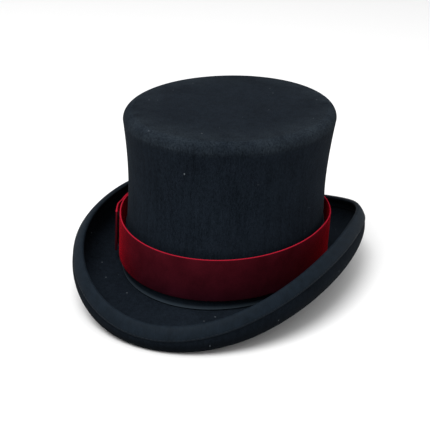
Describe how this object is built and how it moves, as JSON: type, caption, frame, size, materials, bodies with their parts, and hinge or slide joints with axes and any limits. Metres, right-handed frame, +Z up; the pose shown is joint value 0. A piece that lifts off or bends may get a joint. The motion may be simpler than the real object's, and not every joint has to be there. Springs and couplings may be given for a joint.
{
  "type": "top hat",
  "caption": "Wool felt top hat with a waisted oval crown, a brim curled up at the sides and bound in ribbon, and a removable velvet band with a lapped end.",
  "frame": {"origin": "middle of the brim's footprint, on the surface that the hat stands on", "axes": "+Z up through the crown, -Y the front of the hat, +X the wearer's left"},
  "size_m": [0.231, 0.339, 0.1493],
  "materials": {
    "felt": "dense matt navy-black wool felt with a faint nap",
    "grosgrain": "finely ribbed slate-navy grosgrain ribbon, slight sheen",
    "velvet": "short-pile burgundy velvet, brighter at grazing angles",
    "sweatband_leather": "smooth dark brown leather, satin",
    "satin": "glossy black satin weave",
    "wire_steel": "drawn spring steel",
    "reed_plastic": "smooth extruded plastic",
    "hook_and_loop": "black hook and loop tape"
  },
  "bodies": {
    "hat": {"crown": "felt", "brim": "felt", "brim_binding": "grosgrain", "brim_wire": "wire_steel", "hat_ribbon": "grosgrain", "sweatband": "sweatband_leather", "sweatband_reed": "reed_plastic", "sweatband_bow": "satin", "size_label": "satin", "lining_side": "satin", "lining_tip": "satin"},
    "velvet_band": {"red_band": "velvet", "loop_pad": "hook_and_loop"},
    "lap": {"band_lap": "velvet", "hook_pad": "hook_and_loop"}
  },
  "joints": [
    {"name": "band_lift", "type": "slide", "parent": "hat", "child": "velvet_band", "axis": [0, 0, 1], "range_m": [0, 0.16]},
    {"name": "lap_peel", "type": "hinge", "parent": "velvet_band", "child": "lap", "pos_m": [-0.08929, 0.00442, 0.0423], "axis": [0, 0, -1], "range_deg": [0, 18]}
  ]
}
